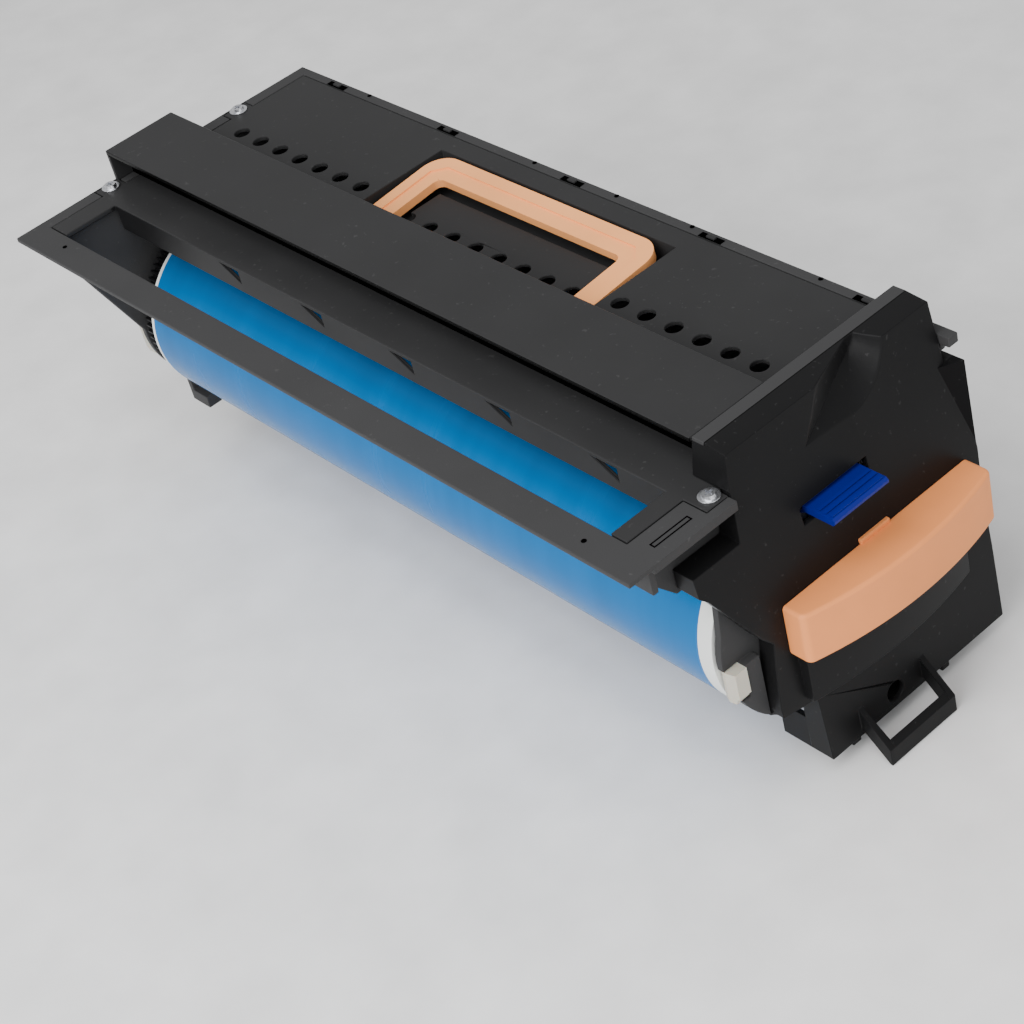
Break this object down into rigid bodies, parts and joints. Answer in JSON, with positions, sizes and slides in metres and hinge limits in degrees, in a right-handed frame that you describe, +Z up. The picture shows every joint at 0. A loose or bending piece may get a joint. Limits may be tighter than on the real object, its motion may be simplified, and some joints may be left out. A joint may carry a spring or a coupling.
{
  "type": "printer drum unit",
  "caption": "Removable drum unit of an office printer: coated drum, cleaner and waste auger in a black housing with a carry handle and a front grip.",
  "frame": {"origin": "centre of the drive socket's mouth, on the drum axis", "axes": "+X along the drum towards the front grip, +Z up from the drum to the deck, -Y the open side of the drum"},
  "size_m": [0.4067, 0.1589, 0.153],
  "materials": {
    "frame_plastic": "spark-eroded moulding",
    "deck_plastic": "satin moulding",
    "cover_plastic": "satin moulding",
    "handle_plastic": "fine satin",
    "lever_plastic": "fine satin",
    "dark_plastic": "satin",
    "white_plastic": "satin",
    "ivory_plastic": "satin",
    "gear_plastic": "satin",
    "drum_coating": "glossy blue photoconductive coating",
    "steel": "ground",
    "zinc_steel": "zinc plated",
    "contact_bronze": "spring sheet",
    "blade_rubber": "polyurethane",
    "film": "thin polyester film",
    "foam": "felt on foam"
  },
  "bodies": {
    "housing": {"main_frame": "frame_plastic", "top_cover": "deck_plastic", "front_cover": "cover_plastic", "front_grip": "handle_plastic", "lever_pin": "steel", "lever_spring": "steel", "rear_bearing": "steel", "front_bearing": "steel", "idler_pin": "steel", "cleaner_housing": "frame_plastic", "cleaning_blade": "blade_rubber", "blade_bracket": "zinc_steel", "recovery_film": "film", "end_seals": "foam", "front_spacer": "ivory_plastic", "rear_spacer": "ivory_plastic", "ground_contact": "contact_bronze", "deck_screws": "zinc_steel", "blade_screws": "zinc_steel", "cover_screws": "zinc_steel"},
    "drum": {"drum_tube": "drum_coating", "front_drum_flange": "white_plastic", "rear_drum_flange": "white_plastic", "drum_shaft": "steel", "drive_coupling": "dark_plastic", "drum_gear": "gear_plastic"},
    "idler": {"idler_gear": "gear_plastic"},
    "auger": {"waste_auger": "dark_plastic", "auger_gear": "gear_plastic"},
    "handle": {"carry_handle": "handle_plastic"},
    "lever": {"release_lever": "lever_plastic"}
  },
  "joints": [
    {"name": "drum_spin", "type": "hinge", "parent": "housing", "child": "drum", "pos_m": [0, 0, 0], "axis": [1, 0, 0], "continuous": true},
    {"name": "idler_spin", "type": "hinge", "parent": "housing", "child": "idler", "pos_m": [0.0221, 0.04597, -0.00977], "axis": [1, 0, 0], "continuous": true},
    {"name": "auger_spin", "type": "hinge", "parent": "housing", "child": "auger", "pos_m": [0.0221, 0.06281, -0.01214], "axis": [1, 0, 0], "continuous": true},
    {"name": "handle_fold", "type": "hinge", "parent": "housing", "child": "handle", "pos_m": [0.1885, 0.0205, 0.0594], "axis": [1, 0, 0], "range_deg": [0, 85]},
    {"name": "lever_press", "type": "hinge", "parent": "housing", "child": "lever", "pos_m": [0.3805, 0.01885, 0.0402], "axis": [0, 1, 0], "range_deg": [0, 10], "stiffness_Nm_per_rad": 0.05, "springref_deg": -17.19}
  ],
  "couplings": [
    {"joint": "idler_spin", "follows": "drum_spin", "ratio": -4.875},
    {"joint": "auger_spin", "follows": "drum_spin", "ratio": 4.3333}
  ]
}
